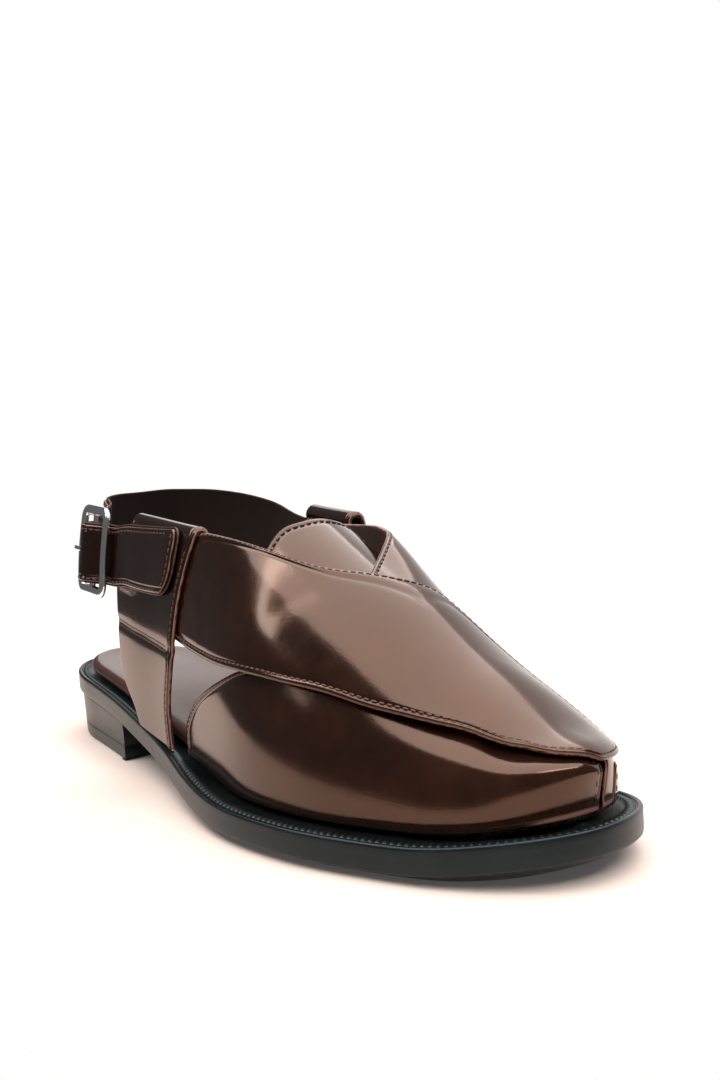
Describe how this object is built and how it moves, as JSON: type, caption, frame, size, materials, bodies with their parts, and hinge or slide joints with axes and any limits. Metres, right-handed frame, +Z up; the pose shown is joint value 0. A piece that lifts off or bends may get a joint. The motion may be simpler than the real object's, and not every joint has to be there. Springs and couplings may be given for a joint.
{
  "type": "peshawari chappal",
  "caption": "Men's right peshawari chappal: two wide crossing straps over low side wings, rounded tongue, open heel with a buckled heel strap, low block heel.",
  "frame": {"origin": "middle of the heel's flat tread, on the floor the shoe stands on", "axes": "+Z up, the toe points along -Y, the outer side with the buckle is -X and the inner side of this right shoe is +X"},
  "size_m": [0.1021, 0.2998, 0.1031],
  "materials": {
    "sole_rubber": "satin moulded black rubber",
    "heel_rubber": "satin moulded black rubber",
    "insole_leather": "glossy brown lining leather over foam",
    "upper_leather": "high gloss burnished dark brown leather",
    "tongue_leather": "high gloss brown leather",
    "stay_leather": "high gloss dark brown leather",
    "strap_leather": "high gloss dark brown leather with black lining",
    "buckle_metal": "polished plated metal"
  },
  "bodies": {
    "root": {"outsole": "sole_rubber", "heel": "heel_rubber", "insole": "insole_leather", "upper": "upper_leather", "tongue": "tongue_leather", "stay_lateral": "stay_leather", "stay_medial": "stay_leather", "heel_strap": "strap_leather", "buckle_chape": "strap_leather", "buckle_frame": "buckle_metal", "buckle_prong": "buckle_metal"}
  },
  "joints": []
}
